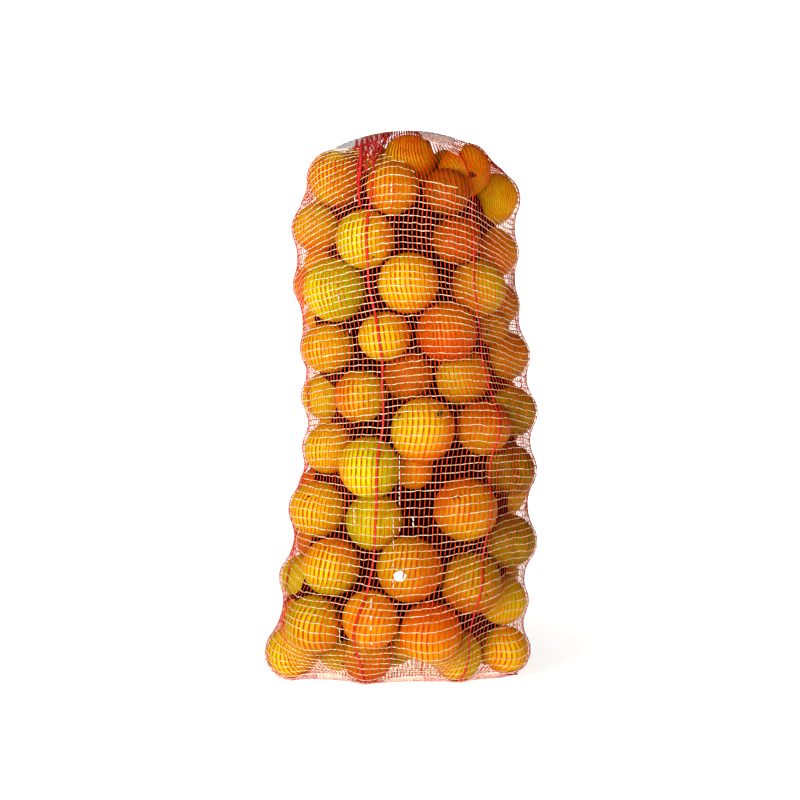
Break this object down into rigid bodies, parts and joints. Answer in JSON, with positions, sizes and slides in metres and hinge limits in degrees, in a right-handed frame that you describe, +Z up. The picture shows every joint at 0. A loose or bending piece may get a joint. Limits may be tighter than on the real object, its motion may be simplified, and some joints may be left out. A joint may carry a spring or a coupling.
{
  "type": "net of oranges",
  "caption": "Tall red and white knitted net sack packed tight with oranges, sewn across the bottom and laced shut at the top, standing upright.",
  "frame": {"origin": "centre of the sack's box, on the floor it stands on", "axes": "+Z up the sack to its laced mouth, -Y towards the front that is shown, +X to the right seen from the front"},
  "size_m": [0.3238, 0.2463, 0.652],
  "materials": {
    "net_of_oranges": "orange peel under a red and white knitted net",
    "mouth_lacing": "red plastic tape",
    "white_disc": "limp white film"
  },
  "bodies": {
    "root": {"net_of_oranges": "net_of_oranges", "mouth_lacing": "mouth_lacing", "white_disc": "white_disc"}
  },
  "joints": []
}
